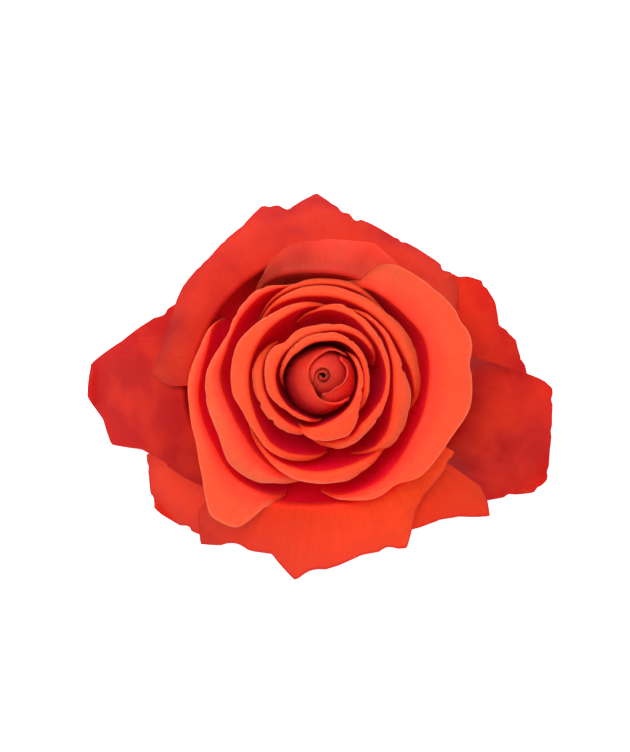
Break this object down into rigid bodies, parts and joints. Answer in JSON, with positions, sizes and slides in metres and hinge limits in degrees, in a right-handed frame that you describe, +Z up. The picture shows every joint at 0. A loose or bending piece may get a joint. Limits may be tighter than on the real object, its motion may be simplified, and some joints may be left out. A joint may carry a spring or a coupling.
{
  "type": "cut rose head",
  "caption": "Fully open orange-red rose bloom, cut short below the hip, resting face up on its guard petals.",
  "frame": {"origin": "centre of the flower's bounding box in X and Y, on the surface that it rests on", "axes": "+Z up out of the face of the bloom; +X along its longest extent, towards the right guard petal; +Y towards the top guard petal"},
  "size_m": [0.1106, 0.0914, 0.0482],
  "materials": {
    "heart_petal": "velvety matte petal, soft sheen",
    "bud_petal": "velvety matte petal, soft sheen",
    "inner_petal": "velvety matte petal, soft sheen",
    "outer_petal": "velvety matte petal, soft sheen",
    "guard_petal": "velvety matte petal, soft sheen",
    "sepal": "matte green leaf",
    "hip": "smooth waxy green",
    "stem": "smooth green bark, pale cut face",
    "stamen": "powdery yellow"
  },
  "bodies": {
    "root": {"heart_scroll": "heart_petal", "bud_right_petal": "heart_petal", "bud_left_petal": "bud_petal", "inner_lower_petal": "inner_petal", "inner_top_petal": "inner_petal", "inner_left_petal": "inner_petal", "ring_lower_left_petal": "inner_petal", "ring_right_petal": "inner_petal", "ring_upper_left_petal": "inner_petal", "ring_lower_right_petal": "inner_petal", "ring_top_petal": "inner_petal", "ring_bottom_petal": "inner_petal", "ring_top_outer_petal": "inner_petal", "outer_left_petal": "outer_petal", "outer_right_petal": "outer_petal", "outer_top_petal": "outer_petal", "guard_left_inner_petal": "outer_petal", "guard_top_petal": "guard_petal", "guard_bottom_petal": "guard_petal", "guard_left_petal": "guard_petal", "guard_upper_right_petal": "guard_petal", "guard_lower_right_petal": "guard_petal", "guard_right_petal": "guard_petal", "guard_lower_left_petal": "guard_petal", "hip": "hip", "cut_stem": "stem", "stamens": "stamen", "sepal_1": "sepal", "sepal_2": "sepal", "sepal_3": "sepal", "sepal_4": "sepal", "sepal_5": "sepal"}
  },
  "joints": []
}
